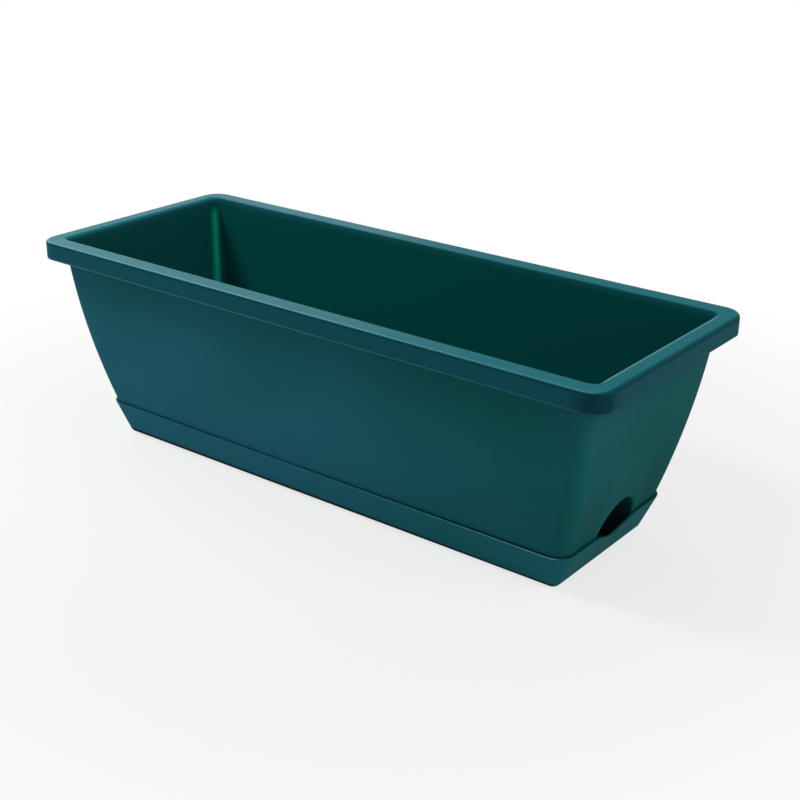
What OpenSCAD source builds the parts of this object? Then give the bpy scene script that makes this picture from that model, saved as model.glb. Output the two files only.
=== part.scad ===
// Vegetable planter: a tapered trough with a turned-down rim, the shallow
// water tray that it stands in and a slotted drain grid inside it.
// X runs along the length, Y across the width and Z up. The origin is under
// the middle of the tray, on the surface that the planter stands on.

/* [Rim] */
// Length over the rim
rim_length = 500; // [440:1:620]
// Width over the rim
rim_width = 194; // [176:0.5:240]
// Height of the rim above the ground
rim_height = 162; // [140:0.5:200]
// How far the rim turns down
rim_drop = 14; // [9:0.5:20]
// Width of the rim's top along the long sides
rim_side = 14; // [12:0.1:18]
// Width of the rim's top at the short ends
rim_end = 14.6; // [13:0.1:18]
// Corner radius of the rim's outline
rim_corner = 15.5; // [12:0.5:20]
// Thickness of the rim's top and of its turned-down edge
rim_thick = 2.4; // [1.8:0.1:3.2]
// Rounding of the rim's outer edge along the long sides
rim_round_side = 1.4; // [0.6:0.1:2]
// Rounding of the rim's outer edge at the short ends
rim_round_end = 3; // [1:0.1:4]
// Rounding of the mouth's edge along the long sides
mouth_round_side = 1.2; // [0.6:0.1:3]
// Rounding of the mouth's edge at the short ends
mouth_round_end = 4; // [1:0.1:5]

/* [Pot walls] */
// Thickness of the pot's walls
wall = 2.2; // [1.6:0.1:3]
// How much each long wall leans in from the rim to the tray's lip
side_lean = 19.6; // [12:0.2:26]
// How much each end wall leans in from the rim to the tray's lip
end_lean = 24.4; // [18:0.2:34]
// How far the walls belly out at half height
belly = 3.4; // [0:0.1:4]
// Outer corner radius of the walls at the rim
corner_top = 8; // [6:0.5:14]
// Outer corner radius of the walls at the tray's lip
corner_lip = 12; // [10:0.5:18]

/* [Pot floor] */
// Thickness of the pot's floor
floor_thick = 2.4; // [1.8:0.1:4]
// Rounding under the edge of the floor
floor_round = 2.5; // [1:0.1:3]
// Rounding where the walls meet the floor inside
inside_round = 4; // [2:0.1:6]
// Diameter of a drain hole
drain_d = 8; // [5:0.5:12]
// Distance from the middle line to the axes of a row of drain holes
drain_row = 30; // [20:0.5:36]

/* [End niches] */
// Width of the arch in each end wall
niche_width = 52; // [36:1:60]
// Height of the arch's crown above the ground
niche_crown = 50; // [42:0.5:60]
// Depth of the niche, measured in from the tray's lip
niche_depth = 24; // [14:0.5:32]

/* [Water tray] */
// Height of the tray's lip above the ground
lip_height = 28; // [24:0.5:34]
// Thickness of the tray's walls
tray_wall = 1.8; // [1.4:0.1:2.6]
// Thickness of the tray's floor
tray_floor = 2; // [1.6:0.1:3]
// How much the tray's walls lean out from foot to lip
tray_lean = 11; // [6:0.1:12]
// Corner radius of the tray's outline at its foot
foot_corner = 10; // [9:0.5:14]
// Rounding of the tray's bottom edge
foot_round = 5.5; // [4:0.1:7]
// Chamfer along the tray's lip
lip_chamfer = 0.5; // [0.2:0.1:0.6]
// Gap between the pot and the tray's lip
lip_gap = 0.5; // [0.4:0.05:1]
// Gap between the pot and the tray's walls at the pot's base
base_gap = 0.9; // [0.7:0.05:2]
// Width of the dip in the lip at each end
dip_width = 58; // [44:1:76]
// Depth of the dip
dip_depth = 7.5; // [3:0.1:10]
// Height of the ribs that carry the pot
rib_height = 5; // [3:0.1:7]
// Thickness of a rib
rib_thick = 2.5; // [1.6:0.1:4]
// Distance between ribs
rib_pitch = 60; // [44:0.5:80]
// Water channel left open at both ends of a rib
rib_clear = 14; // [8:0.5:24]

/* [Drain grid] */
// Height of the space under the grid
grid_rise = 20; // [16:0.5:28]
// Thickness of the grid's plate
grid_thick = 2.2; // [1.6:0.1:4]
// Gap between the grid and the pot's walls
grid_gap = 1.2; // [0.6:0.1:3]
// Width of a slot
slot_width = 5; // [3:0.1:6]
// Length of a slot
slot_length = 17; // [12:0.5:18]
// Plate left between two slots
slot_bar = 5; // [3:0.1:8]
// Plate left between two rows of slots
slot_web = 4; // [3:0.1:5]
// Diameter of a leg
leg_d = 8; // [6:0.5:12]
// Distance from the middle line to the axes of a row of legs
leg_row = 42; // [36:0.5:46]
// Depth of the stiffening ribs under the plate
stiffener_drop = 6; // [3:0.5:10]
// Thickness of a stiffening rib
stiffener_thick = 2; // [1.4:0.1:3]

/* [Hidden] */

pot_green = [0.06, 0.30, 0.32];
tray_green = [0.05, 0.27, 0.29];
grid_green = [0.04, 0.20, 0.20];

// Steps along a rounded corner seen from above, up a wall and round an edge
corner_steps = 8;
wall_steps = 10;
edge_steps = 4;
// How far a cutting body runs past what it cuts
cut_past = 1;

// A section is [half length, half width, corner radius, height]
rim_top = [rim_length / 2, rim_width / 2, rim_corner, rim_height];
pot_top = [rim_length / 2 - rim_end + wall, rim_width / 2 - rim_side + wall, corner_top, rim_height];
pot_lip = [pot_top[0] - end_lean, pot_top[1] - side_lean, corner_lip, lip_height];
mouth = grow(pot_top, -wall);

tray_lip = grow(pot_lip, lip_gap + tray_wall);
tray_foot = [tray_lip[0] - tray_lean, tray_lip[1] - tray_lean, foot_corner, 0];
tray_tilt = atan(tray_lean / lip_height);

base_z = tray_floor + rib_height;
floor_z = base_z + floor_thick;
grid_z = floor_z + grid_rise;

niche_radius = niche_width / 2;
niche_centre_z = niche_crown - niche_radius;
niche_back_x = pot_lip[0] - niche_depth;

// Ribs, drain holes and legs share one spacing along the pot: the legs stand
// over the ribs and the holes lie between them
rib_count_side = floor((niche_back_x - wall - leg_d / 2) / rib_pitch);
rib_places = [for (i = [-rib_count_side:rib_count_side]) i * rib_pitch];
leg_places = [for (x = rib_places, y = [-leg_row, leg_row]) [x, y]];
drain_places = [for (i = [0:len(rib_places) - 2], y = [-drain_row, drain_row])
    [(rib_places[i] + rib_places[i + 1]) / 2, y]];

slot_pitch_x = slot_width + slot_bar;
slot_pitch_y = slot_length + slot_web;
slot_rows_side = 2;

function mix(a, b, t) = a + (b - a) * t;
function grow(s, d) = [s[0] + d, s[1] + d, s[2] + d, s[3]];
function raise(s, z) = [s[0], s[1], s[2], z];

// How far a rounded bottom edge draws a leaning wall in, at an angle that
// runs from 0 under the floor to 90 - tilt where the edge meets the wall
function edge_inset(r, tilt, turn) =
    r * tan((90 - tilt) / 2) - r * sin(turn) + tan(tilt) * r * (1 - cos(turn));

function tray_outside(z) = raise(mix(tray_foot, tray_lip, z / lip_height), z);
function tray_inside(z) = grow(tray_outside(z), -tray_wall);

// The pot's outside: bellied down to the tray's lip, and below it a steady
// gap inside the tray
function bellied(z) =
    let (t = (rim_height - z) / (rim_height - lip_height),
         out = 4 * belly * t * (1 - t))
    raise(mix(pot_top, pot_lip, t) + [out, out, 0, 0], z);
function seated(z) =
    grow(tray_inside(z), -mix(base_gap, lip_gap, (z - base_z) / (lip_height - base_z)));
function pot_outside(z) = z < lip_height ? seated(z) : bellied(z);
function pot_inside(z) = grow(pot_outside(z), -wall);

// A section's outline as points, counter-clockwise seen from above. An edge
// with one rounding along the sides and another at the ends is drawn in and
// lowered by shares of the rounding found at each point
function ring(s, side_round = 0, end_round = 0, inward = 0, down = 0) =
    [for (corner = [0:3], i = [0:corner_steps])
        let (turn = 90 * (corner + i / corner_steps),
             middle = 90 * corner + 45,
             r = side_round * pow(sin(turn), 2) + end_round * pow(cos(turn), 2),
             x = sign(cos(middle)) * (s[0] - s[2]),
             y = sign(sin(middle)) * (s[1] - s[2]))
        [x + (s[2] - inward * r) * cos(turn), y + (s[2] - inward * r) * sin(turn), s[3] - down * r]];

// A closed skin through a list of rings, from the first cap to the last
module loft(rings) {
    n = len(rings[0]);
    last = len(rings) - 1;
    sides = [for (k = [0:last - 1]) for (i = [0:n - 1])
        let (a = k * n + i, b = k * n + (i + 1) % n)
        for (face = [[a, a + n, b + n], [a, b + n, b]]) face];
    first_cap = [for (i = [0:n - 1]) i];
    last_cap = [for (i = [n - 1:-1:0]) last * n + i];
    polyhedron(points = [for (r = rings) for (p = r) p],
               faces = concat([first_cap, last_cap], sides), convexity = 10);
}

// Sections round the bottom edges, outside and inside
function pot_edge(turn) =
    grow(pot_outside(base_z + floor_round * (1 - cos(turn))), -edge_inset(floor_round, tray_tilt, turn));
function pot_inside_edge(turn) =
    grow(pot_inside(floor_z + inside_round * (1 - cos(turn))), -edge_inset(inside_round, tray_tilt, turn));
function tray_edge(turn) =
    grow(tray_outside(foot_round * (1 - cos(turn))), -edge_inset(foot_round, tray_tilt, turn));
function tray_inside_edge(turn) =
    let (r = foot_round - tray_wall)
    grow(tray_inside(tray_floor + r * (1 - cos(turn))), -edge_inset(r, tray_tilt, turn));

bottom_turns = [for (i = [0:edge_steps]) (90 - tray_tilt) * i / edge_steps];
top_turns = [for (i = [0:edge_steps]) 90 * i / edge_steps];

// The pot's walls, floor and rim as one moulded shell
module pot_shell() {
    under_rim = rim_height - rim_thick;
    below_mouth = rim_height - max(mouth_round_side, mouth_round_end);
    skirt_inside = grow(rim_top, -rim_thick);
    heights = [for (i = [0:wall_steps]) mix(lip_height, rim_height, i / wall_steps)];
    outside = concat(
        [for (turn = bottom_turns) ring(pot_edge(turn))],
        [for (z = heights) if (z < under_rim) ring(pot_outside(z))]);
    skirt = [ring(pot_outside(under_rim)),
             ring(raise(skirt_inside, under_rim)),
             ring(raise(skirt_inside, rim_height - rim_drop)),
             ring(raise(rim_top, rim_height - rim_drop))];
    rim_edge = [for (turn = top_turns)
        ring(rim_top, rim_round_side, rim_round_end, 1 - cos(turn), 1 - sin(turn))];
    mouth_edge = [for (turn = top_turns)
        ring(mouth, mouth_round_side, mouth_round_end, sin(turn) - 1, 1 - cos(turn))];
    inside = concat(
        [for (i = [wall_steps:-1:0]) if (heights[i] < below_mouth) ring(pot_inside(heights[i]))],
        [for (i = [edge_steps:-1:0]) ring(pot_inside_edge(bottom_turns[i]))]);
    loft(concat(outside, skirt, rim_edge, mouth_edge, inside));
}

// The space of one niche, or with a thickness the hood that stands round it
module niche_space(thick) {
    low = base_z - cut_past;
    translate([niche_back_x - thick, 0, 0]) {
        translate([0, -niche_radius - thick, low])
            cube([rim_length, niche_width + 2 * thick, niche_centre_z - low]);
        translate([0, 0, niche_centre_z])
            rotate([0, 90, 0])
                cylinder(r = niche_radius + thick, h = rim_length, $fn = 96);
    }
}

// The hood over a niche, ended in the middle of the end wall's thickness
module niche_hood() {
    top = niche_crown + wall + cut_past;
    intersection() {
        niche_space(wall);
        loft([for (i = [0:edge_steps])
            ring(grow(pot_outside(mix(base_z, top, i / edge_steps)), -wall / 2))]);
    }
}

module both_ends() {
    children();
    rotate([0, 0, 180]) children();
}

module planter_pot() {
    color(pot_green)
        difference() {
            union() {
                pot_shell();
                both_ends() niche_hood();
            }
            both_ends() niche_space(0);
            for (place = drain_places)
                translate([place[0], place[1], base_z - cut_past])
                    cylinder(d = drain_d, h = floor_thick + 2 * cut_past, $fn = 48);
        }
}

// The dip in the lip under an arch, where water is poured in
module lip_dip() {
    steps = 16;
    curve = [for (i = [-steps:steps])
        [i / steps * dip_width / 2, lip_height - dip_depth * (1 + cos(180 * i / steps)) / 2]];
    top = lip_height + cut_past;
    translate([niche_back_x, 0, 0])
        rotate([90, 0, 90])
            linear_extrude(rim_length)
                polygon(concat(curve, [[dip_width / 2, top], [-dip_width / 2, top]]));
}

module water_tray() {
    below_lip = lip_height - lip_chamfer;
    lip = [ring(tray_outside(below_lip)),
           ring(grow(tray_lip, -lip_chamfer)),
           ring(grow(tray_lip, lip_chamfer - tray_wall)),
           ring(tray_inside(below_lip))];
    rib_half = seated(base_z)[1] - floor_round - rib_clear;
    color(tray_green) {
        difference() {
            loft(concat(
                [for (turn = bottom_turns) ring(tray_edge(turn))],
                lip,
                [for (i = [edge_steps:-1:0]) ring(tray_inside_edge(bottom_turns[i]))]));
            both_ends() lip_dip();
        }
        for (x = rib_places)
            translate([x - rib_thick / 2, -rib_half, tray_floor / 2])
                cube([rib_thick, 2 * rib_half, base_z - tray_floor / 2]);
    }
}

// True where a slot leaves the plate whole over the legs
function clear_of_legs(x, y) =
    min([for (p = leg_places)
        max(abs(x - p[0]) - slot_width / 2, abs(y - p[1]) - slot_length / 2)]) > leg_d / 2;

module grid_plate() {
    edge = grow(pot_inside(grid_z), -grid_gap);
    notch_x = niche_back_x - wall - grid_gap;
    notch_y = niche_radius + wall + grid_gap;
    difference() {
        polygon([for (p = ring(edge)) [p[0], p[1]]]);
        for (side = [-1, 1])
            translate([side > 0 ? notch_x : -notch_x - rim_length, -notch_y])
                square([rim_length, 2 * notch_y]);
        for (j = [-slot_rows_side:slot_rows_side]) {
            y = j * slot_pitch_y;
            beside_notch = abs(y) - slot_length / 2 > notch_y + slot_bar / 2;
            reach = (beside_notch ? edge[0] - edge[2] / 2 : notch_x) - slot_bar;
            count = floor((2 * reach + slot_bar) / slot_pitch_x);
            for (i = [0:count - 1]) {
                x = (i - (count - 1) / 2) * slot_pitch_x;
                if (clear_of_legs(x, y))
                    translate([x - slot_width / 2, y - slot_length / 2])
                        square([slot_width, slot_length]);
            }
        }
    }
}

module drain_grid() {
    stiffener_x = niche_back_x - wall - grid_gap;
    color(grid_green) {
        translate([0, 0, grid_z])
            linear_extrude(grid_thick)
                grid_plate();
        for (p = leg_places)
            translate([p[0], p[1], floor_z])
                cylinder(d = leg_d, h = grid_rise, $fn = 48);
        for (side = [-1, 1])
            translate([-stiffener_x, side * slot_pitch_y / 2 - stiffener_thick / 2, grid_z - stiffener_drop])
                cube([2 * stiffener_x, stiffener_thick, stiffener_drop]);
    }
}

planter_pot();
water_tray();
drain_grid();
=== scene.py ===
import bpy
import bmesh
import math
from mathutils import Matrix, Vector


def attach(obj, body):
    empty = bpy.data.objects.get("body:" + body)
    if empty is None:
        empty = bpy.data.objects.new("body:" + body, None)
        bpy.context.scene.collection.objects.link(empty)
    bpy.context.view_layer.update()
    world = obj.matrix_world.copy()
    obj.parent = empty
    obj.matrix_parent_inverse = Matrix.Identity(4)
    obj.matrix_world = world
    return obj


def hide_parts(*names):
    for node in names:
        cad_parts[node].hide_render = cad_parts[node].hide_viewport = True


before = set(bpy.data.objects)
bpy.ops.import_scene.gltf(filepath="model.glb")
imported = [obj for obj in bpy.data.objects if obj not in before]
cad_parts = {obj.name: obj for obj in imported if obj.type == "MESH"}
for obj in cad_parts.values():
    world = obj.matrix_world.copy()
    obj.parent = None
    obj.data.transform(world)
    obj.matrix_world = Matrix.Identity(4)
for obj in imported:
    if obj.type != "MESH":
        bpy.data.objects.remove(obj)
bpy.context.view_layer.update()        # the imported CAD nodes, set in world space
print("frame loaded:", ", ".join(sorted(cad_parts)))

# Lengths are written in millimetres and angles in degrees. A section is the
# outline at one height: half length, half width, corner radius, height.
millimetre = 0.001       # in metres
weldGap = 2e-6           # points closer than this become one, in metres
planeGap = 2e-7          # points this close to a plane lie in it, in metres
sharpAngle = 32          # faces that meet at less than this are shaded smooth
quarters = ((1, 1), (-1, 1), (-1, -1), (1, -1))      # the corners, in turn


def sinOf(angle):
    return math.sin(math.radians(angle))


def cosOf(angle):
    return math.cos(math.radians(angle))


def tanOf(angle):
    return math.tan(math.radians(angle))


def mixed(a, b, share):
    if isinstance(a, tuple):
        return tuple(mixed(p, q, share) for p, q in zip(a, b))
    return a + (b - a) * share


# A share that rises from 0 to 1 between two values
def rise(value, start, end):
    return min(1, max(0, (value - start) / (end - start)))


# A value that changes from first to last between two places along the part
def alongPart(x, first, last, start, end):
    return mixed(first, last, rise(x, start, end))


def steps(start, end, count):
    return [start + (end - start) * i / count for i in range(count + 1)]


def grown(section, by):
    return (section[0] + by, section[1] + by, section[2] + by, section[3])


def atHeight(section, z):
    return (section[0], section[1], section[2], z)


# How far a point lies past the middle of the section's corner, both ways
def pastCorner(section, x, y):
    return abs(x) - (section[0] - section[2]), abs(y) - (section[1] - section[2])


# How far a point lies outside the section's outline; less than 0 is inside
def beyond(section, x, y):
    u, w = pastCorner(section, x, y)
    return max(u, w, math.hypot(max(u, 0), max(w, 0))) - section[2]


# How far a rounded bottom edge draws a leaning wall in, at one turn of it
def edgeInset(radius, tilt, turn):
    return (radius * tanOf((90 - tilt) / 2) - radius * sinOf(turn)
            + tanOf(tilt) * radius * (1 - cosOf(turn)))


# Places along an outline. Each takes a section and gives x, y and the angle
# that the outline faces there.
def cornerPlace(sx, sy, turn):
    return lambda s: (sx * (s[0] - s[2]) + s[2] * cosOf(turn),
                      sy * (s[1] - s[2]) + s[2] * sinOf(turn), turn)


def endPlace(sx, y):
    return lambda s: (sx * s[0], y, 0 if sx > 0 else 180)


def endShare(sx, sy, fromY, share):
    return lambda s: (sx * s[0], sy * mixed(fromY, s[1] - s[2], share), 0 if sx > 0 else 180)


def sidePlace(sy, share):
    return lambda s: (share * (s[0] - s[2]), sy * s[1], 90 * sy)


# A ring of points: one section, with the rounding of its edge along the
# sides and at the ends, drawn in and lowered by shares of that rounding
def ring(places, section, sideRound=0, endRound=0, inward=0, down=0):
    points = []
    for place in places:
        x, y, turn = place(section)
        r = sideRound * sinOf(turn) ** 2 + endRound * cosOf(turn) ** 2
        points.append((x - inward * r * cosOf(turn), y - inward * r * sinOf(turn), section[3] - down * r))
    return points


def addGrid(bm, rows, closed=False, turned=False):
    way = -1 if turned else 1
    made = [[bm.verts.new((way * x * millimetre, way * y * millimetre, z * millimetre)) for x, y, z in row]
            for row in rows]
    for low, high in zip(made, made[1:]):
        for i in range(len(low) if closed else len(low) - 1):
            j = (i + 1) % len(low)
            bm.faces.new((low[i], low[j], high[j], high[i]))
    return made


# The same surface twice, once turned by half a turn for the other end
def addBothEnds(bm, rows):
    addGrid(bm, rows)
    addGrid(bm, rows, turned=True)


def weld(bm):
    bmesh.ops.remove_doubles(bm, verts=bm.verts, dist=weldGap)


# Fills every open border that lies in one plane, with its holes left open
def fillPlane(bm, axis, value):
    borders = [e for e in bm.edges if len(e.link_faces) < 2
               and all(abs(getattr(v.co, axis) - value * millimetre) < planeGap for v in e.verts)]
    bmesh.ops.triangle_fill(bm, edges=borders, use_beauty=True)


def roundedRectangle(halfX, halfY, radius, count=3):
    places = [cornerPlace(sx, sy, quarter * 90 + 90 * i / count)
              for quarter, (sx, sy) in enumerate(quarters) for i in range(count + 1)]
    return [place((halfX, halfY, radius, 0))[:2] for place in places]


def circle(radius, count=32):
    return [(radius * math.cos(2 * math.pi * i / count), radius * math.sin(2 * math.pi * i / count))
            for i in range(count)]


# A short tube or peg through a list of (outline, z) rows round one middle
def addTube(bm, middle, rows, capped=False):
    made = addGrid(bm, [[(middle[0] + x, middle[1] + y, z) for x, y in outline] for outline, z in rows],
                   closed=True)
    if capped:
        bm.faces.new(made[-1])


def addMasks(bm, *names):
    return [bm.verts.layers.float.new(name) for name in names]


# Makes the mesh an object that rides on its body in place of its CAD node
def finishPiece(bm, name, body, node, material):
    bmesh.ops.recalc_face_normals(bm, faces=bm.faces)
    openEdges = sum(1 for e in bm.edges if len(e.link_faces) != 2)
    mesh = bpy.data.meshes.new(name)
    bm.to_mesh(mesh)
    bm.free()
    for face in mesh.polygons:
        face.use_smooth = True
    mesh.set_sharp_from_angle(angle=math.radians(sharpAngle))
    piece = bpy.data.objects.new(name, mesh)
    bpy.context.scene.collection.objects.link(piece)
    mesh.materials.append(material)
    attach(piece, body)
    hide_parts(node)
    print(name, "made:", len(mesh.polygons), "faces,", openEdges, "open edges")


# Gives an input its value, or a link where the value is a node's output
def setInput(tree, socket, value):
    if isinstance(value, bpy.types.NodeSocket):
        tree.links.new(value, socket)
    else:
        socket.default_value = value


def addNode(tree, kind, **values):
    node = tree.nodes.new(kind)
    for key, value in values.items():
        if hasattr(node, key):
            setattr(node, key, value)
        else:
            setInput(tree, node.inputs[key], value)
    return node


def addMath(tree, operation, *values):
    node = addNode(tree, "ShaderNodeMath", operation=operation)
    for socket, value in zip(node.inputs, values):
        setInput(tree, socket, value)
    return node.outputs["Value"]


def addColourMix(tree, share, first, second):
    return addNode(tree, "ShaderNodeMix", data_type="RGBA", Factor=share, A=first, B=second).outputs["Result"]


def addNoise(tree, place, scale, detail, roughness, distortion=0.0):
    return addNode(tree, "ShaderNodeTexNoise", Vector=place, Scale=scale, Detail=detail, Roughness=roughness,
                   Distortion=distortion).outputs["Fac"]


# A soft rise from low to high while the value goes from start to end
def addSoftRise(tree, value, start, end, low=0.0, high=1.0):
    return addNode(tree, "ShaderNodeMapRange", interpolation_type="SMOOTHSTEP", Value=value, **{
        "From Min": start, "From Max": end, "To Min": low, "To Max": high}).outputs["Result"]


# Shows the first shader where the share is 0 and the second where it is 1
def addShaderMix(tree, share, first, second, surface):
    both = addNode(tree, "ShaderNodeMixShader", Fac=share)
    tree.links.new(first, both.inputs[1])
    tree.links.new(second, both.inputs[2])
    tree.links.new(both.outputs["Shader"], surface)


# The plastic. Its grain is the same in all three pieces, and its sizes are in
# waves per metre.
grain = {
    "driftPlace": (4.72, 2.97, 1.83), "driftDetail": 2.5, "driftWarp": 0.4, "driftSpan": (0.35, 0.65),
    "scuffSize": (30, 260, 420), "scuffTurn": (0.2, 0.12, 0.1), "scuffSpan": (0.66, 0.76),
    "scuffRoughness": 0.25, "patchSize": 22.0, "grainSize": 900.0, "waveSize": 14.0, "waveHeight": 12.0}


def makePlasticGroup():
    group = bpy.data.node_groups.new("mouldedPlastic", "ShaderNodeTree")
    face = group.interface
    for name, kind, start in (
            ("Colour", "NodeSocketColor", (0.02, 0.15, 0.17, 1)),
            ("Cool colour", "NodeSocketColor", (0.02, 0.15, 0.2, 1)),
            ("Worn colour", "NodeSocketColor", (0.1, 0.3, 0.32, 1)),
            ("Mottle size", "NodeSocketFloat", 6.0),
            ("Mottle", "NodeSocketFloat", 0.5),
            ("Roughness", "NodeSocketFloat", 0.4),
            ("Roughness spread", "NodeSocketFloat", 0.08),
            ("Scuffs", "NodeSocketFloat", 0.2)):
        face.new_socket(name=name, in_out="INPUT", socket_type=kind).default_value = start
    for name, kind in (("Colour", "NodeSocketColor"), ("Roughness", "NodeSocketFloat"),
                       ("Height", "NodeSocketFloat")):
        face.new_socket(name=name, in_out="OUTPUT", socket_type=kind)
    given = addNode(group, "NodeGroupInput").outputs
    result = addNode(group, "NodeGroupOutput").inputs
    where = addNode(group, "ShaderNodeTexCoord").outputs["Object"]

    # broad drifts of pigment
    moved = addNode(group, "ShaderNodeMapping", Vector=where, Location=grain["driftPlace"]).outputs["Vector"]
    drift = addNoise(group, moved, given["Mottle size"], grain["driftDetail"], 0.5, grain["driftWarp"])
    cool = addMath(group, "MULTIPLY", addSoftRise(group, drift, *grain["driftSpan"]), given["Mottle"])
    pigment = addColourMix(group, cool, given["Colour"], given["Cool colour"])

    # fine scuffs, drawn out along the part
    drawn = addNode(group, "ShaderNodeMapping", Vector=where, Scale=grain["scuffSize"],
                    Rotation=grain["scuffTurn"]).outputs["Vector"]
    scuffs = addSoftRise(group, addNoise(group, drawn, 1.0, 2.0, 0.6), *grain["scuffSpan"])
    worn = addMath(group, "MULTIPLY", scuffs, given["Scuffs"])
    setInput(group, result["Colour"], addColourMix(group, worn, pigment, given["Worn colour"]))

    # roughness follows broad patches and the scuffs
    patches = addMath(group, "SUBTRACT", addNoise(group, where, grain["patchSize"], 4.0, 0.55), 0.5)
    spread = addMath(group, "MULTIPLY_ADD", patches, given["Roughness spread"], given["Roughness"])
    rougher = addMath(group, "MULTIPLY_ADD", worn, grain["scuffRoughness"], spread)
    setInput(group, result["Roughness"], rougher)

    # the mould's fine grain on longer waves
    fine = addNoise(group, where, grain["grainSize"], 2.0, 0.5)
    waves = addNoise(group, where, grain["waveSize"], 1.0, 0.4)
    setInput(group, result["Height"], addMath(group, "MULTIPLY_ADD", waves, grain["waveHeight"], fine))
    return group


plasticGroup = makePlasticGroup()


def makePlastic(name, look):
    material = bpy.data.materials.new(name)
    material.use_nodes = True
    tree = material.node_tree
    shader = tree.nodes["Principled BSDF"]
    skin = addNode(tree, "ShaderNodeGroup", node_tree=plasticGroup)
    for socket in ("Colour", "Cool colour", "Worn colour"):
        skin.inputs[socket].default_value = (*look[socket], 1)
    for socket in ("Mottle size", "Mottle", "Roughness", "Roughness spread", "Scuffs"):
        skin.inputs[socket].default_value = look[socket]
    # zones, each where the mesh carries its mask: their colours are painted light and shade, their roughness
    # the moulding's own
    colour, roughness = skin.outputs["Colour"], skin.outputs["Roughness"]
    for mask, (tint, finish) in look["zones"].items():
        share = addNode(tree, "ShaderNodeAttribute", attribute_name=mask).outputs["Fac"]
        if tint:
            colour = addColourMix(tree, share, colour, (*tint, 1))
        if finish:
            roughness = addMath(tree, "MULTIPLY_ADD", share, finish - look["Roughness"], roughness)
    bump = addNode(tree, "ShaderNodeBump", Strength=look["bump"], Distance=look["bump depth"],
                   Height=skin.outputs["Height"])
    for socket, value in (("Base Color", colour), ("Roughness", roughness),
                          ("Specular IOR Level", look["specular"]), ("IOR", look["IOR"]),
                          ("Normal", bump.outputs["Normal"])):
        setInput(tree, shader.inputs[socket], value)
    return material


potLook = {
    "Colour": (0.0080, 0.108, 0.113), "Cool colour": (0.0200, 0.130, 0.186),
    "Worn colour": (0.06, 0.22, 0.25),
    # mask on the mesh: colour and roughness there. The colours are painted light and
    # shade: a sheen on the rim's top, shade on the skirt and inside the trough, a glow
    # of light shining through the corners, highlights along edges, and spots of shade
    "zones": {
        "rimTopSheen": ((0.0080, 0.158, 0.194), 0.38), "skirt": ((0.0080, 0.0830, 0.1120), 0.45),
        "inside": ((0.0014, 0.082, 0.0780), 0.45), "paintedCornerGlow": ((0.003, 0.420, 0.300), None),
        "edges": ((0.130, 0.360, 0.410), None), "shade": ((0.002, 0.018, 0.024), None)},
    "Mottle size": 3.0, "Mottle": 1.0, "Roughness": 0.62, "Roughness spread": 0.10, "Scuffs": 0.10,
    "bump": 0.25, "bump depth": 0.00003, "specular": 0.013, "IOR": 1.49}
trayLook = dict(potLook, **{
    "Colour": (0.0090, 0.124, 0.138), "Cool colour": (0.0190, 0.144, 0.198),
    # painted highlight on the lip and painted shadow at the foot
    "zones": {"edges": ((0.110, 0.300, 0.330), None), "shade": ((0.001, 0.006, 0.010), None)}})
gridLook = dict(trayLook, **{
    "Colour": (0.0025, 0.080, 0.080), "Cool colour": (0.0030, 0.078, 0.092), "Roughness": 0.5, "zones": {}})

potPlastic = makePlastic("potPlastic", potLook)
trayPlastic = makePlastic("trayPlastic", trayLook)
gridPlastic = makePlastic("gridPlastic", gridLook)
print("plastics made")


# The water tray
traySizes = {
    "lip": (215.5, 67.9, 14.3, 28.0), "foot": (203.3, 57.3, 4.8, 0.0), "wall": 1.8, "floor": 2.0,
    "footRound": 5.5, "lipRound": 0.35, "dipHalf": 29.0, "dipDepth": 7.5,
    "ribThick": 2.5, "ribHalf": 40.5, "ribTop": 7.0, "ribPitch": 60.0, "ribsEachSide": 3,
    # rows of a rib: growth, corner radius, and height from the floor or top
    "ribFoot": ((0.5, 1.1, 0.0), (0.15, 0.8, 0.15), (0.0, 0.6, 0.5)),
    "ribCrest": ((0.0, 0.6, -0.3), (-0.1, 0.5, -0.1), (-0.3, 0.3, 0.0)),
    # a painted highlight on the lip grows between two places along the part, and
    # lies only this near to the long sides
    "lipHighlight": (-20.0, 175.0), "lipHighlightWide": (3.0, 1.0),
    # a painted shadow on the long sides' foot reaches up to a height: at the left,
    # at the right, and the places between which that changes
    "footShadowTop": (5.0, 4.2, 40.0, 140.0), "footShadowFade": 1.1, "footShadowDarkest": 0.97,
    # it starts at the underside's edge, and ends where the end wall is nearer
    "footShadowStart": (0.2, 0.9), "footShadowTurn": (-1.0, 4.0)}
trayTilt = math.degrees(math.atan((traySizes["lip"][0] - traySizes["foot"][0]) / traySizes["lip"][3]))


def trayOutside(z):
    return atHeight(mixed(traySizes["foot"], traySizes["lip"], z / traySizes["lip"][3]), z)


def trayInside(z):
    return grown(trayOutside(z), -traySizes["wall"])


# Height of the lip across an end, with the dip below the arch
def lipHeight(y):
    s = traySizes
    dips = abs(y) < s["dipHalf"]
    return s["lip"][3] - (s["dipDepth"] * (1 + cosOf(180 * y / s["dipHalf"])) / 2 if dips else 0)


# Places round the tray, each with the height of the lip there
def trayPlaces():
    half, lipZ = traySizes["dipHalf"], traySizes["lip"][3]
    places = []
    for quarter, (sx, sy) in enumerate(quarters):
        besideDip = [(endShare(sx, sy, half, share), lipZ) for share in (0.35, 0.7)]
        startsAtEnd = quarter in (0, 2)
        if startsAtEnd:
            places += [(endPlace(sx, sx * y), lipHeight(y)) for y in steps(-half, half, 32)] + besideDip
        places += [(cornerPlace(sx, sy, 90 * quarter + turn), lipZ) for turn in steps(0, 90, 14)]
        if startsAtEnd:
            places += [(sidePlace(sy, share * sx), lipZ) for share in steps(0.9, -0.9, 12)]
        else:
            places += reversed(besideDip)
    return places


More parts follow.
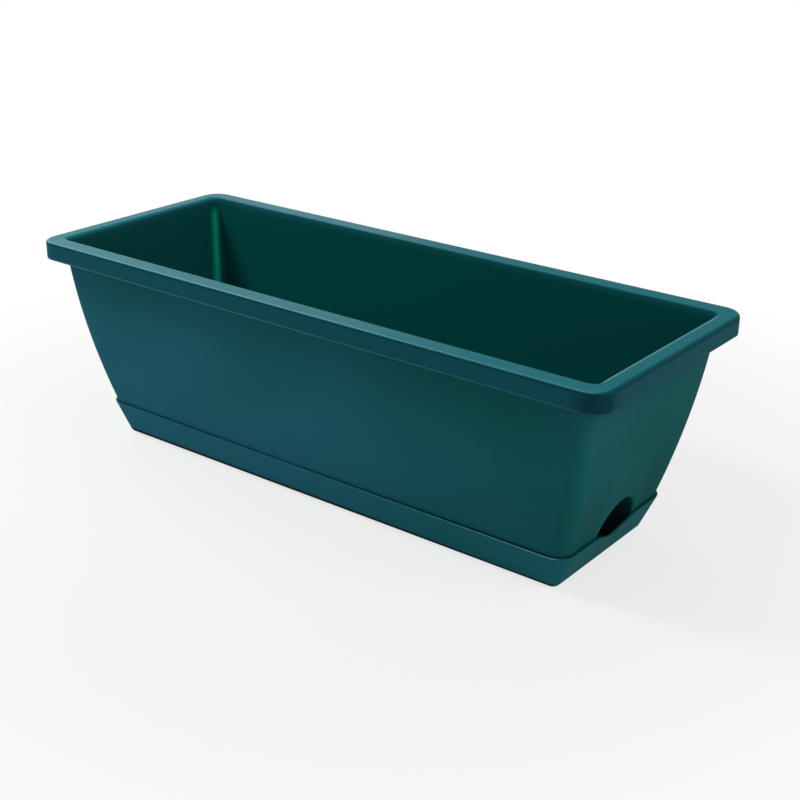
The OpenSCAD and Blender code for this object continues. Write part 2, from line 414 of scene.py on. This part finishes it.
# Rows from the foot up outside, over the lip and down inside. Each gives the
# section for a place whose lip is at that height.
def trayRows():
    s = traySizes
    r = s["lipRound"]
    wallTurns = steps(0, 90 - trayTilt, 8)
    innerRound = s["footRound"] - s["wall"]
    wallStart = s["footRound"] * (1 - cosOf(wallTurns[-1]))
    innerStart = s["floor"] + innerRound * (1 - cosOf(wallTurns[-1]))
    rows = []
    for turn in wallTurns:
        rows.append(lambda lip, t=turn: grown(trayOutside(s["footRound"] * (1 - cosOf(t))),
                                              -edgeInset(s["footRound"], trayTilt, t)))
    # close together low down, where the painted shadow at the foot ends
    for share in (0.045, 0.08, 0.2, 0.4, 0.6, 0.8, 0.95):
        rows.append(lambda lip, i=share: trayOutside(mixed(wallStart, lip - r, i)))
    for turn in steps(0, 90, 5):
        rows.append(lambda lip, t=turn: grown(trayOutside(lip - r * (1 - sinOf(t))), -r * (1 - cosOf(t))))
    for turn in steps(90, 0, 5):
        rows.append(lambda lip, t=turn: grown(trayInside(lip - r * (1 - sinOf(t))), r * (1 - cosOf(t))))
    for share in (0.8, 0.6, 0.4, 0.2):
        rows.append(lambda lip, i=share: trayInside(mixed(innerStart, lip - r, i)))
    for turn in reversed(wallTurns):
        rows.append(lambda lip, t=turn: grown(trayInside(s["floor"] + innerRound * (1 - cosOf(t))),
                                              -edgeInset(innerRound, trayTilt, t)))
    return rows


# Masks: a painted highlight on the lip's edge, and a painted shadow on the long sides' foot
def paintTray(bm):
    s = traySizes
    edges, shade = addMasks(bm, "edges", "shade")
    for v in bm.verts:
        x, y, z = (c / millimetre for c in v.co)
        outward = beyond(trayOutside(z), x, y)
        atEnd = abs(x) > s["foot"][0] - 3
        lip = lipHeight(y) if atEnd else s["lip"][3]
        # a painted highlight on the lip's outer rounding
        if z > lip - s["lipRound"] * 0.7 and outward > -s["lipRound"] * 1.2:
            v[edges] = rise(x, *s["lipHighlight"]) ** 2 * rise(s["lip"][1] - abs(y), *s["lipHighlightWide"])
        # how much nearer to the long side than to the end
        alongside = (abs(y) - s["foot"][1]) - (abs(x) - s["foot"][0])
        onOutside = z < s["floor"] - 0.5 or outward > -s["wall"] / 2
        # a painted contact shadow along the long sides' foot
        if onOutside:
            top = alongPart(x, *s["footShadowTop"])
            v[shade] = (s["footShadowDarkest"] * rise(alongside, *s["footShadowTurn"])
                        * rise(z, top, top - s["footShadowFade"]) * rise(z, *s["footShadowStart"]))


# Rows of a rounded bar: each gives growth, corner radius and height
def barRows(halfX, halfY, level, profile):
    return [(roundedRectangle(halfX + growth, halfY + growth, corner), level + up)
            for growth, corner, up in profile]


def makeTray():
    s = traySizes
    places = trayPlaces()
    bm = bmesh.new()
    addGrid(bm, [[(*place(row(lip))[:2], row(lip)[3]) for place, lip in places] for row in trayRows()],
            closed=True)
    rib = (barRows(s["ribThick"] / 2, s["ribHalf"], s["floor"], s["ribFoot"])
           + barRows(s["ribThick"] / 2, s["ribHalf"], s["ribTop"], s["ribCrest"]))
    for i in range(-s["ribsEachSide"], s["ribsEachSide"] + 1):
        addTube(bm, (i * s["ribPitch"], 0), rib, capped=True)
    weld(bm)
    fillPlane(bm, "z", 0.0)
    fillPlane(bm, "z", s["floor"])
    paintTray(bm)
    finishPiece(bm, "waterTray", "tray", "water_tray", trayPlastic)


makeTray()


# The pot
potSizes = {
    "rim": (250.0, 97.0, 15.5, 162.0), "top": (237.6, 85.2, 8.0, 162.0), "lip": (213.2, 65.6, 12.0, 28.0),
    "wall": 2.2, "belly": 3.4, "rimThick": 2.4, "rimDrop": 14.0, "rimRoundSide": 1.1, "rimRoundEnd": 3.0,
    "mouthRoundSide": 0.9, "mouthRoundEnd": 4.0, "skirtRound": 0.7, "underRound": 1.2,
    "base": 7.0, "floorTop": 9.4, "floorRound": 2.5, "insideRound": 4.0, "baseGap": 0.9, "lipGap": 0.5,
    "drainRadius": 4.0, "drainRow": 30.0, "drainPitch": 60.0, "drainsEachSide": 3, "drainEdges": (0.3, 0.4),
    "archRadius": 26.0, "archZ": 24.0, "archRound": 1.8, "nicheBack": 189.2, "nicheRound": 1.6,
    "hoodRound": 2.4, "hoodFoot": 2.0, "patchHalf": 36.0,
    # heights of the rows between the rounded foot and the arch's middle
    "outerRows": (11.5, 15.0, 19.0, 24.0), "innerRows": (14.0, 17.0, 20.5, 24.0),
    # masks of the walls, painted shade and glow. Four numbers are a strength at
    # one place along the part, a strength at another, and the two places
    "insideShadeFade": 6.0, "insideShadeAtEnds": 0.78, "nicheShade": 0.5,
    "lipShadeLine": (0.05, 0.9, -30.0, 110.0), "lipShadeHalf": 0.9,
    "lowShade": (0.15, 0.22, 195.0, 215.0), "lowShadeAlong": (60.0, 190.0), "lowShadeHeight": (90.0, 35.0),
    # a painted glow of light shining through the corners: middle of the glow past
    # the turn, then its reach and strength inside and outside, and how far up the skirt it fades
    "glowMiddle": 3.0, "glowInside": (4.5, 1.0), "glowOutside": (13.0, 0.05), "glowFade": 6.0,
    # masks of the rim: painted sheen, highlights and shade
    "frontSheen": (0.04, 0.13, 50.0, -220.0), "rimHighlight": (1.0, 0.5, 0.0, 150.0), "roundingShade": 0.5,
    "nearCorner": (-7.0, 5.0), "nearCornerShade": 0.5,
    "mouthHighlight": 0.8, "mouthHighlightBand": (1.0, 3.4), "mouthHighlightClear": 10.0,
    "footHighlight": (1.0, 0.5, -50.0, 200.0), "footHighlightEnds": 0.03, "footHighlightSides": 0.33}


def potOutside(z):
    s = potSizes
    if z < s["lip"][3]:
        gap = mixed(s["baseGap"], s["lipGap"], (z - s["base"]) / (s["lip"][3] - s["base"]))
        return grown(trayInside(z), -gap)
    t = (s["top"][3] - z) / (s["top"][3] - s["lip"][3])
    out = 4 * s["belly"] * t * (1 - t)
    a, b, r, _ = mixed(s["top"], s["lip"], t)
    return (a + out, b + out, r, z)


def potInside(z):
    return grown(potOutside(z), -potSizes["wall"])


# A rounded bottom edge: the section at one turn of it, and the same by height
def bottomEdge(wallAt, low, radius, turn):
    return grown(wallAt(low + radius * (1 - cosOf(turn))), -edgeInset(radius, trayTilt, turn))


def wallX(wallAt, low, radius, z):
    if z < low + radius * (1 - cosOf(90 - trayTilt)) - 1e-9:
        turn = math.degrees(math.acos(min(1, 1 - (z - low) / radius)))
        return wallAt(z)[0] - edgeInset(radius, trayTilt, turn)
    return wallAt(z)[0]


# Lines of a wall round one arch: along the foot, round the arch and back
def archLines(lowHeights, archAngles):
    lines = [("low", 1, z) for z in lowHeights]
    lines += [("arc", 0, angle) for angle in archAngles]
    return lines + [("low", -1, z) for z in reversed(lowHeights)]


def archPoint(line, radius):
    kind, side, value = line
    if kind == "low":
        return side * radius, value
    return radius * cosOf(value), potSizes["archZ"] + radius * sinOf(value)


def archBorder(line):
    kind, side, value = line
    half, z0 = potSizes["patchHalf"], potSizes["archZ"]
    if kind == "low":
        return side * half, value
    if value <= 45:
        return half, z0 + half * tanOf(value)
    if value >= 135:
        return -half, z0 + half * tanOf(180 - value)
    return half * cosOf(value) / sinOf(value), z0 + half


# The wall round an arch, the rounding into it and the niche's own walls
def archGrid(lines, xAt, radius, flare, back, backRound):
    rows = []
    for line in lines:
        row = []
        border, rimPoint = archBorder(line), archPoint(line, radius + flare)
        for share in steps(0, 1, 6):
            y, z = mixed(border, rimPoint, share)
            row.append((xAt(z), y, z))
        for turn in steps(0, 90, 8)[1:]:
            y, z = archPoint(line, radius + flare * (1 - sinOf(turn)))
            row.append((xAt(z) - flare * (1 - cosOf(turn)), y, z))
        y, z = archPoint(line, radius)
        for share in (0.33, 0.67):
            row.append((mixed(xAt(z) - flare, back + backRound, share), y, z))
        for turn in steps(0, 90, 5):
            y, z = archPoint(line, radius - backRound * (1 - cosOf(turn)))
            row.append((back + backRound * (1 - sinOf(turn)), y, z))
        rows.append(row)
    return rows


# Places from one end's patch along a side to the other end's patch
def longPlaces():
    half, endShares, lastShares = potSizes["patchHalf"], (0.3, 0.55, 0.75, 0.9), (0.985, 0.96)
    places = [endPlace(1, half)] + [endShare(1, 1, half, share) for share in endShares]
    places += [cornerPlace(1, 1, turn) for turn in steps(0, 90, 16)]
    places += [sidePlace(1, share) for share in lastShares]
    places += [sidePlace(1, share) for share in steps(0.92, -0.92, 16)]
    places += [sidePlace(1, -share) for share in reversed(lastShares)]
    places += [cornerPlace(-1, 1, turn) for turn in steps(90, 180, 16)]
    return places + [endShare(-1, 1, half, share) for share in reversed(endShares)] + [endPlace(-1, half)]


# Rows from the patch's top up the wall, over the rim and down inside. Each is
# a section and, where an edge is rounded, what ring takes after it.
def upperRows(patchTop):
    s = potSizes
    rimZ = s["rim"][3]
    under, skirtFoot = rimZ - s["rimThick"], rimZ - s["rimDrop"]
    skirtInside, mouth = grown(s["rim"], -s["rimThick"]), grown(s["top"], -s["wall"])
    rimRound, mouthRound = (s["rimRoundSide"], s["rimRoundEnd"]), (s["mouthRoundSide"], s["mouthRoundEnd"])
    wallEnd = potOutside(under - s["underRound"])
    besideEdge = (0.7, 1.3)      # flat rows this far from where the rim's edges turn
    rows = [(potOutside(z),) for z in steps(patchTop, wallEnd[3], 14)[1:-1]]
    for turn in steps(0, 90, 4):
        z = under - s["underRound"] * (1 - sinOf(turn))
        rows.append((atHeight(grown(wallEnd, s["underRound"] * (1 - cosOf(turn))), z),))
    for turn in steps(0, 90, 4):
        z = under - s["underRound"] * (1 - cosOf(turn))
        rows.append((atHeight(grown(skirtInside, -s["underRound"] * (1 - sinOf(turn))), z),))
    for turn in steps(0, 90, 4):
        z = skirtFoot + s["skirtRound"] * (1 - sinOf(turn))
        rows.append((atHeight(grown(skirtInside, s["skirtRound"] * (1 - cosOf(turn))), z),))
    for turn in steps(0, 90, 5):
        z = skirtFoot + s["skirtRound"] * (1 - cosOf(turn))
        rows.append((atHeight(grown(s["rim"], -s["skirtRound"] * (1 - sinOf(turn))), z),))
    rows += [(atHeight(s["rim"], skirtFoot + up),) for up in (1.3, 6.5)]     # flat rows on the skirt
    rows += [(s["rim"], *rimRound, 0, down) for down in (2.1, 1.5)]
    rows += [(s["rim"], *rimRound, 1 - cosOf(turn), 1 - sinOf(turn)) for turn in steps(0, 90, 8)]
    rows += [(grown(s["rim"], -inset), *rimRound, 1, 0) for inset in besideEdge]
    rows += [(grown(mouth, inset), *mouthRound, -1, 0) for inset in reversed(besideEdge)]
    rows += [(mouth, *mouthRound, sinOf(turn) - 1, 1 - cosOf(turn)) for turn in steps(0, 90, 8)]
    return rows + [(potInside(z),) for z in steps(rimZ - 6, patchTop, 14)[:-1]]


# Masks of the walls: painted shade inside the trough, in the niches, along the
# tray's lip and low towards the right end, and a painted glow of light shining
# through the corners
def paintWalls(bm, inside, cornerGlow, shade):
    s = potSizes
    rimZ, lipZ = s["rim"][3], s["lip"][3]
    skirtFoot = rimZ - s["rimDrop"]
    glowTop = skirtFoot + s["glowFade"]
    for v in bm.verts:
        x, y, z = (c / millimetre for c in v.co)
        a, b, r, _ = outside = potOutside(max(z, s["base"]))
        u, w = pastCorner(outside, x, y)
        outward = beyond(outside, x, y)
        aboveFoot = z > s["base"] + 1
        fromArch = math.hypot(y, max(0, z - s["archZ"])) - s["archRadius"]
        inNiche = fromArch < 0.5 and abs(x) > s["nicheBack"] - 0.5
        onInside = outward < -s["wall"] * 0.6 and aboveFoot and not inNiche
        # painted shade inside the trough, fading in below the rim, less on the end walls
        if onInside:
            atEnd = abs(x) - a > abs(y) - b
            v[inside] = rise(rimZ - z, 0, s["insideShadeFade"]) * (s["insideShadeAtEnds"] if atEnd else 1)
        # painted shade in the niches
        if inNiche and outward < -1.5 and aboveFoot:
            v[shade] = s["nicheShade"]
        # painted shade along the tray's lip, and darker low on the walls towards the right end
        elif outward > -1 and (abs(y) > traySizes["dipHalf"] or abs(x) < s["nicheBack"]):
            lipShadeLine = alongPart(x, *s["lipShadeLine"]) * rise(abs(z - lipZ), s["lipShadeHalf"], 0)
            lowDown = rise(x, *s["lowShadeAlong"]) * rise(z, *s["lowShadeHeight"])
            v[shade] = max(lipShadeLine, alongPart(x, *s["lowShade"]) * lowDown)
        # a painted glow of light shining through the corners
        if z < glowTop and outward < 3:
            # distance round the corner, from where the end wall starts to turn
            radius = r - s["wall"] if v[inside] else r
            around = w
            if w >= 0:
                around = radius * math.atan2(w, u) if u > 0 else radius * math.pi / 2 - u
            reach, most = s["glowInside"] if v[inside] else s["glowOutside"]
            t = min(1, abs(around - s["glowMiddle"]) / reach)
            v[cornerGlow] = most * (1 - t * t) ** 2 * (rise(z, glowTop, skirtFoot) * rise(z, 0, lipZ))


# Masks of the rim: a painted sheen on its top, painted shade on the skirt,
# painted highlights along edges, and painted shade under the edge and at the
# near corner
def paintRim(bm, edges, rimTopSheen, skirt, shade):
    s = potSizes
    rimZ = s["rim"][3]
    skirtFoot = rimZ - s["rimDrop"]
    mouth = grown(s["top"], -s["wall"])
    mouthNear, mouthFar = s["mouthHighlightBand"]
    for v in bm.verts:
        x, y, z = (c / millimetre for c in v.co)
        u, w = pastCorner(s["rim"], x, y)
        fromEdge = -beyond(s["rim"], x, y)
        side = math.sin(math.atan2(max(w, 0), max(u, 0))) ** 2     # 1 along the sides, 0 at the ends
        rounding = mixed(s["rimRoundEnd"], s["rimRoundSide"], side)
        fall = (rimZ - z) / rounding                               # 1 at the rounding's foot
        onRounding = fromEdge < rounding + 0.1
        # a painted sheen on the rim's top, and painted shade on the skirt
        if fall < 0.5:
            v[rimTopSheen] = 1
        elif z >= skirtFoot and fromEdge < 1.5:
            v[skirt] = 1
        # a painted sheen on the front of the rim, a little paler towards the left
        if fall < 0.5 and y < 0:
            v[edges] = side * alongPart(x, *s["frontSheen"])
        # a painted highlight on the line where the rim's top turns into the skirt, along the sides
        if z > rimZ - 0.3 and onRounding:
            v[edges] = side * alongPart(x, *s["rimHighlight"])
        # painted shade just below that line, and at the ends on the rounding itself
        if onRounding and 0.05 < fall < 2:
            v[shade] = s["roundingShade"] * (side if fall > 0.9 else (1 - side) * rise(fall, 0, 0.15))
        # painted shade on the near corner of the skirt
        if v[skirt] and x > 0 and y < 0:
            nearness = rise(u, *s["nearCorner"]) * rise(w, *s["nearCorner"])
            v[shade] = max(v[shade], s["nearCornerShade"] * nearness)
        # a painted highlight on the mouth's edge at the right end, away from its corners
        u, w = pastCorner(mouth, x, y)
        onMouthEdge = z > rimZ - 1.3 and mouthNear < beyond(mouth, x, y) < mouthFar
        if onMouthEdge and x > 0 and u > w + s["mouthHighlightClear"]:
            v[edges] = s["mouthHighlight"]
        # a painted highlight along the skirt's foot
        footReach = s["skirtRound"] + 0.05
        if fromEdge < footReach and abs(z - skirtFoot) < footReach:
            v[edges] = s["footHighlightEnds"] + s["footHighlightSides"] * side * alongPart(x, *s["footHighlight"])


def makePot():
    s = potSizes
    half, archZ = s["patchHalf"], s["archZ"]
    nicheRadius, hoodRadius = s["archRadius"] - s["archRound"], s["archRadius"] + s["wall"]
    hoodBack = s["nicheBack"] - s["wall"]
    wallTurns = steps(0, 90 - trayTilt, 7)
    # the patch round an arch: rows close together at the tray's lip, then up
    # to its corner at 45 degrees
    creaseAngle = math.degrees(math.atan((s["lip"][3] - archZ) / half))
    rising = [creaseAngle + turn for turn in (-1.4, 0, 1.4, 2.8)] + steps(creaseAngle, 45, 7)[1:]
    overArch = steps(45, 135, 18)
    arcAngles = rising + overArch[1:-1] + [180 - angle for angle in reversed(rising)]
    arcHeights = [archZ + half * tanOf(angle) for angle in rising]

    # rows of a wall up to the patch's top, and its lines round the arch
    def lowWall(wallAt, low, radius, heights):
        rows = [bottomEdge(wallAt, low, radius, turn) for turn in wallTurns]
        rows += [wallAt(z) for z in [*heights, *arcHeights]]
        rounded = [low + radius * (1 - cosOf(turn)) for turn in wallTurns]
        return rows, archLines([*rounded, *heights], arcAngles)

    outerLow, outerLines = lowWall(potOutside, s["base"], s["floorRound"], s["outerRows"])
    innerLow, innerLines = lowWall(potInside, s["floorTop"], s["insideRound"], s["innerRows"])
    upper = upperRows(archZ + half)

    bm = bmesh.new()
    longWay = longPlaces()
    fullRows = [(section,) for section in outerLow] + upper + [(section,) for section in reversed(innerLow)]
    addBothEnds(bm, [ring(longWay, *row) for row in fullRows])
    overPatch = [endPlace(1, half * cosOf(angle) / sinOf(angle)) for angle in reversed(overArch)]
    addBothEnds(bm, [ring(overPatch, *row) for row in [(outerLow[-1],), *upper, (innerLow[-1],)]])
    addBothEnds(bm, archGrid(outerLines, lambda z: wallX(potOutside, s["base"], s["floorRound"], z),
                             nicheRadius, s["archRound"], s["nicheBack"], s["nicheRound"]))
    addBothEnds(bm, archGrid(innerLines, lambda z: wallX(potInside, s["floorTop"], s["insideRound"], z),
                             hoodRadius, s["hoodFoot"], hoodBack, s["hoodRound"]))

    r, (lowEdge, highEdge) = s["drainRadius"], s["drainEdges"]
    drain = [(circle(r + lowEdge), s["base"]), (circle(r), s["base"] + lowEdge),
             (circle(r), s["floorTop"] - highEdge), (circle(r + highEdge), s["floorTop"])]
    for i in range(-s["drainsEachSide"], s["drainsEachSide"]):
        for side in (-1, 1):
            addTube(bm, ((i + 0.5) * s["drainPitch"], side * s["drainRow"]), drain)
    weld(bm)

    # the straight foot of each back wall, then the back walls and the floor
    for back, low, radius in ((s["nicheBack"], s["base"], nicheRadius - s["nicheRound"]),
                              (hoodBack, s["floorTop"], hoodRadius - s["hoodRound"])):
        for side in (-1, 1):
            ends = []
            for y in (-radius, radius):
                spot = Vector((side * back, y, low)) * millimetre
                ends.append(min(bm.verts, key=lambda v: (v.co - spot).length))
            bm.edges.new(ends)
            fillPlane(bm, "x", side * back)
    fillPlane(bm, "z", s["base"])
    fillPlane(bm, "z", s["floorTop"])

    # masks for the painted light and shade
    inside, cornerGlow, edges, rimTopSheen, skirt, shade = addMasks(
        bm, "inside", "paintedCornerGlow", "edges", "rimTopSheen", "skirt", "shade")
    paintWalls(bm, inside, cornerGlow, shade)
    paintRim(bm, edges, rimTopSheen, skirt, shade)
    finishPiece(bm, "planterPot", "pot", "planter_pot", potPlastic)


makePot()


# The drain grid
gridSizes = {
    "low": 29.4, "thick": 2.2, "gap": 1.2, "notchX": 185.8, "notchY": 29.4, "notchRound": 1.5,
    "edgeRound": 0.4, "roundMiddle": 0.3,      # a rounding's middle lies in by this share of it
    "slotHalf": (2.5, 8.5), "slotCorner": 0.8, "slotPitch": (10.0, 21.0), "slotBar": 5.0,
    "slotRowsEachSide": 2,
    "legRadius": 4.0, "legRow": 42.0, "legPitch": 60.0, "legsEachSide": 3, "legSteps": 24,
    # rows of a leg: growth, and height from the plate or from the pot's floor
    "legTop": ((0.8, 0.0), (0.25, -0.25), (0.0, -0.8)), "legFoot": ((0.0, 0.6), (-0.18, 0.18), (-0.6, 0.0)),
    "stiffenerHalf": 1.0, "stiffenerDrop": 6.0, "stiffenerX": 185.8, "stiffenerRound": 0.3}


# Places of the slots, in rows that leave out the ones above a leg
def gridSlots(edge, legs):
    s = gridSizes
    halfX, halfY = s["slotHalf"]
    pitchX, pitchY = s["slotPitch"]
    slots = []
    for row in range(-s["slotRowsEachSide"], s["slotRowsEachSide"] + 1):
        y = row * pitchY
        besideNotch = abs(y) - halfY > s["notchY"] + s["slotBar"] / 2
        reach = (edge[0] - edge[2] / 2 if besideNotch else s["notchX"]) - s["slotBar"]
        count = int((2 * reach + s["slotBar"]) // pitchX)
        for i in range(count):
            x = (i - (count - 1) / 2) * pitchX
            clear = min(max(abs(x - legX) - halfX, abs(y - legY) - halfY) for legX, legY in legs)
            if clear > s["legRadius"]:
                slots.append((x, y))
    return slots


# The plate's outline with a notch round each hood, drawn in all round
def gridOutline(edge, inset):
    s = gridSizes
    section = grown(edge, -inset)
    x, y, soft = s["notchX"] - inset, s["notchY"] + inset, s["notchRound"]
    cut = soft * s["roundMiddle"]
    half = [(section[0], -y), (x + soft, -y), (x + cut, -y + cut), (x, -y + soft),
            (x, y - soft), (x + cut, y - cut), (x + soft, y), (section[0], y)]
    half += [cornerPlace(1, 1, turn)(section)[:2] for turn in steps(0, 90, 10)]
    half += [cornerPlace(-1, 1, turn)(section)[:2] for turn in steps(90, 180, 10)]
    return half + [(-px, -py) for px, py in half]


def makeGrid():
    s = gridSizes
    low, top, r = s["low"], s["low"] + s["thick"], s["edgeRound"]
    edge = grown(potInside(low), -s["gap"])
    legs = [(i * s["legPitch"], side * s["legRow"])
            for i in range(-s["legsEachSide"], s["legsEachSide"] + 1) for side in (-1, 1)]
    slots = gridSlots(edge, legs)

    bm = bmesh.new()
    cut = r * s["roundMiddle"]
    profile = [(r, low), (cut, low + cut), (0, low + r), (0, top - r), (cut, top - cut), (r, top)]
    addTube(bm, (0, 0), [(gridOutline(edge, inset), z) for inset, z in profile])
    halfX, halfY = s["slotHalf"]
    slotRows = [(roundedRectangle(halfX + inset, halfY + inset, s["slotCorner"] + inset, 2), z)
                for inset, z in profile]
    for slot in slots:
        addTube(bm, slot, slotRows)
    legRows = [(circle(s["legRadius"] + growth, s["legSteps"]), level + up)
               for level, rows in ((low, s["legTop"]), (potSizes["floorTop"], s["legFoot"]))
               for growth, up in rows]
    for leg in legs:
        addTube(bm, leg, legRows, capped=True)
    x, h, soft = s["stiffenerX"], s["stiffenerHalf"], s["stiffenerRound"]
    foot = low - s["stiffenerDrop"]
    stiffenerRows = [(roundedRectangle(x, h + soft, 3 * soft), low),
                     (roundedRectangle(x, h, 2 * soft), low - soft),
                     (roundedRectangle(x, h, 2 * soft), foot + soft),
                     (roundedRectangle(x - soft, h - soft, soft), foot)]
    for side in (-1, 1):
        addTube(bm, (0, side * s["slotPitch"][1] / 2), stiffenerRows, capped=True)
    weld(bm)
    fillPlane(bm, "z", low)
    fillPlane(bm, "z", top)
    print("grid slots:", len(slots))
    finishPiece(bm, "drainGrid", "grid", "drain_grid", gridPlastic)


makeGrid()


# Floor, light and camera. The floor and the lamps are in metres, and the
# floor lies a hair below the tray.
studio = {
    "floorRadius": 6.0, "floorZ": -0.0001, "floorColour": (0.87, 0.87, 0.87), "floorRoughness": 0.9,
    "floorWhite": 0.72, "fade": (0.26, 0.60), "worldLight": 0.33, "worldColour": (1.0, 1.0, 1.0)}


# 1 for rays that show the backdrop plainly: in sight, mirrored or seen through
def addPlainRays(tree):
    rays = addNode(tree, "ShaderNodeLightPath").outputs
    seen = addMath(tree, "MAXIMUM", rays["Is Camera Ray"], rays["Is Glossy Ray"])
    return addMath(tree, "MAXIMUM", seen, rays["Is Transmission Ray"])


def makeFloor():
    material = bpy.data.materials.new("paleFloor")
    material.use_nodes = True
    tree = material.node_tree
    shader = tree.nodes["Principled BSDF"]
    shader.inputs["Base Color"].default_value = (*studio["floorColour"], 1)
    shader.inputs["Roughness"].default_value = studio["floorRoughness"]
    shader.inputs["Specular IOR Level"].default_value = 0.0
    white = addNode(tree, "ShaderNodeEmission", Strength=1.0)
    # the floor turns white away from the planter and its shadow
    where = addNode(tree, "ShaderNodeTexCoord").outputs["Object"]
    away = addNode(tree, "ShaderNodeVectorMath", operation="LENGTH", Vector=where).outputs["Value"]
    fade = addSoftRise(tree, away, *studio["fade"], studio["floorWhite"])
    share = addMath(tree, "MULTIPLY", addPlainRays(tree), fade)
    addShaderMix(tree, share, shader.outputs["BSDF"], white.outputs["Emission"],
                 tree.nodes["Material Output"].inputs["Surface"])

    bm = bmesh.new()
    bm.faces.new([bm.verts.new((x, y, 0)) for x, y in circle(studio["floorRadius"], 96)])
    mesh = bpy.data.meshes.new("studioFloor")
    bm.to_mesh(mesh)
    bm.free()
    mesh.materials.append(material)
    floor = bpy.data.objects.new("studioFloor", mesh)
    floor.location.z = studio["floorZ"]
    bpy.context.scene.collection.objects.link(floor)


def makeWorld():
    world = bpy.data.worlds.new("studioWorld")
    bpy.context.scene.world = world
    world.use_nodes = True
    tree = world.node_tree
    light = tree.nodes["Background"]
    light.inputs["Color"].default_value = (*studio["worldColour"], 1)
    light.inputs["Strength"].default_value = studio["worldLight"]
    backdrop = addNode(tree, "ShaderNodeBackground", Strength=1.0, Color=(1, 1, 1, 1))
    addShaderMix(tree, addPlainRays(tree), light.outputs["Background"], backdrop.outputs["Background"],
                 tree.nodes["World Output"].inputs["Surface"])


# name: place, point it faces, width, height, strength in watts, colour
lamps = {
    "keySoftbox": ((-0.65, -0.39, 0.89), (0, 0, 0.1), 0.24, 0.24, 5.6, (1, 1, 1)),
    "leftWindow": ((-1.097, 0.740, 0.556), (0, 0, 0.1), 1.0, 0.5, 3.8, (1, 1, 1)),
    "rightFill": ((1.0, 0.0, 0.85), (0, 0, 0.1), 0.5, 0.5, 3.4, (1, 1, 0.88))}


def makeLamps():
    for name, (place, target, width, height, watts, colour) in lamps.items():
        lamp = bpy.data.lights.new(name, "AREA")
        lamp.shape = "RECTANGLE"
        lamp.size = width
        lamp.size_y = height
        lamp.energy = watts
        lamp.color = colour
        box = bpy.data.objects.new(name, lamp)
        box.location = place
        box.rotation_euler = (Vector(target) - Vector(place)).to_track_quat("-Z", "Y").to_euler()
        bpy.context.scene.collection.objects.link(box)


# Angles of the view, then lens, sensor and place in millimetres
cameraSizes = {"azimuth": 37.3557, "elevation": 22.7794, "roll": 0.7331, "lens": 63.1285, "sensor": 36.0,
               "place": (607.552, -756.761, 470.155)}


def makeCamera():
    c = cameraSizes
    a, e, r = c["azimuth"], c["elevation"], c["roll"]
    back = Vector((sinOf(a) * cosOf(e), -cosOf(a) * cosOf(e), sinOf(e)))
    level = Vector((cosOf(a), sinOf(a), 0))
    upright = back.cross(level)
    right = level * cosOf(r) + upright * sinOf(r)
    up = upright * cosOf(r) - level * sinOf(r)
    data = bpy.data.cameras.new("photoCamera")
    data.lens = c["lens"]
    data.sensor_width = c["sensor"]
    data.sensor_fit = "HORIZONTAL"
    camera = bpy.data.objects.new("photoCamera", data)
    turn = Matrix((right, up, back)).transposed().to_4x4()
    camera.matrix_world = Matrix.Translation(Vector(c["place"]) * millimetre) @ turn
    bpy.context.scene.collection.objects.link(camera)
    bpy.context.scene.camera = camera


makeFloor()
makeWorld()
makeLamps()
makeCamera()
bpy.context.scene.view_settings.view_transform = "Standard"
print("floor, light and camera made")
